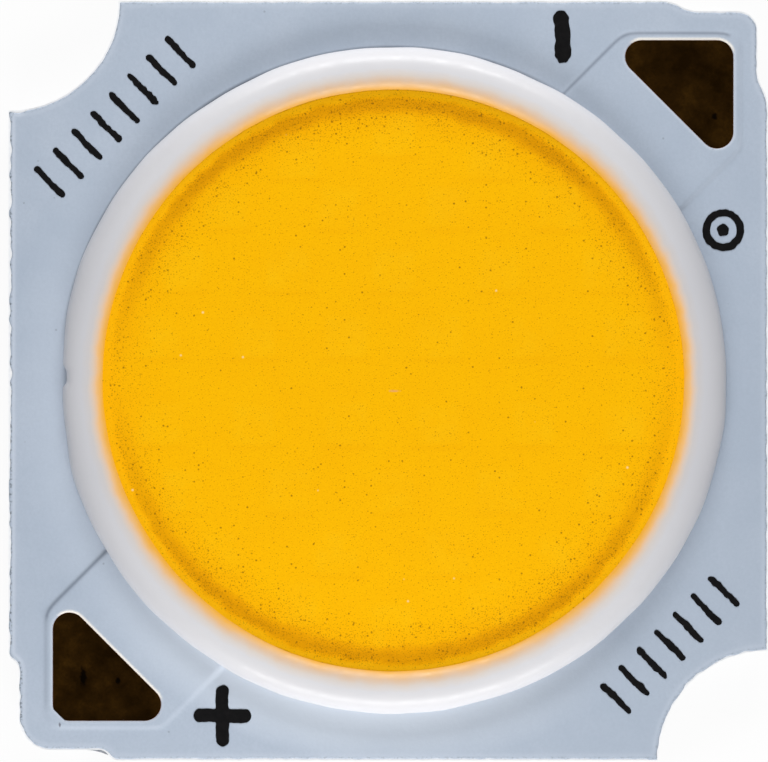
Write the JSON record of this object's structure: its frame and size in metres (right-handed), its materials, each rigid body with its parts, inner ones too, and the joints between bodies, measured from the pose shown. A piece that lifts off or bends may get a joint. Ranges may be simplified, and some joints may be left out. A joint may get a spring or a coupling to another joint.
{
  "type": "chip-on-board LED",
  "caption": "Square chip-on-board LED with a round yellow light area inside a white dam, two triangular solder pads and two screw notches at opposite corners.",
  "frame": {"origin": "centre of the square board's outline, on its bare metal back face", "axes": "+Z from the back face towards the light, +X and +Y along the board's edges with the cathode pad in the +X +Y corner"},
  "size_m": [0.019, 0.019, 0.0015],
  "materials": {
    "plate_aluminium": "satin",
    "insulating_resin": "satin",
    "track_copper": "satin",
    "pad_plating": "polished",
    "solder_mask_white": "satin",
    "dam_silicone": "satin",
    "phosphor_silicone": "satin",
    "die_attach_silicone": "satin",
    "die_sapphire": "polished",
    "wire_gold": "polished"
  },
  "bodies": {
    "root": {"base_plate": "plate_aluminium", "dielectric_layer": "insulating_resin", "anode_track": "track_copper", "cathode_track": "track_copper", "anode_pad_plating": "pad_plating", "cathode_pad_plating": "pad_plating", "solder_mask": "solder_mask_white", "dam_ring": "dam_silicone", "phosphor_fill": "phosphor_silicone", "die_attach": "die_attach_silicone", "led_row_1": "die_sapphire", "led_row_2": "die_sapphire", "led_row_3": "die_sapphire", "led_row_4": "die_sapphire", "led_row_5": "die_sapphire", "led_row_6": "die_sapphire", "led_row_7": "die_sapphire", "led_row_8": "die_sapphire", "bond_wires_row_1": "wire_gold", "bond_wires_row_2": "wire_gold", "bond_wires_row_3": "wire_gold", "bond_wires_row_4": "wire_gold", "bond_wires_row_5": "wire_gold", "bond_wires_row_6": "wire_gold", "bond_wires_row_7": "wire_gold", "bond_wires_row_8": "wire_gold"}
  },
  "joints": []
}
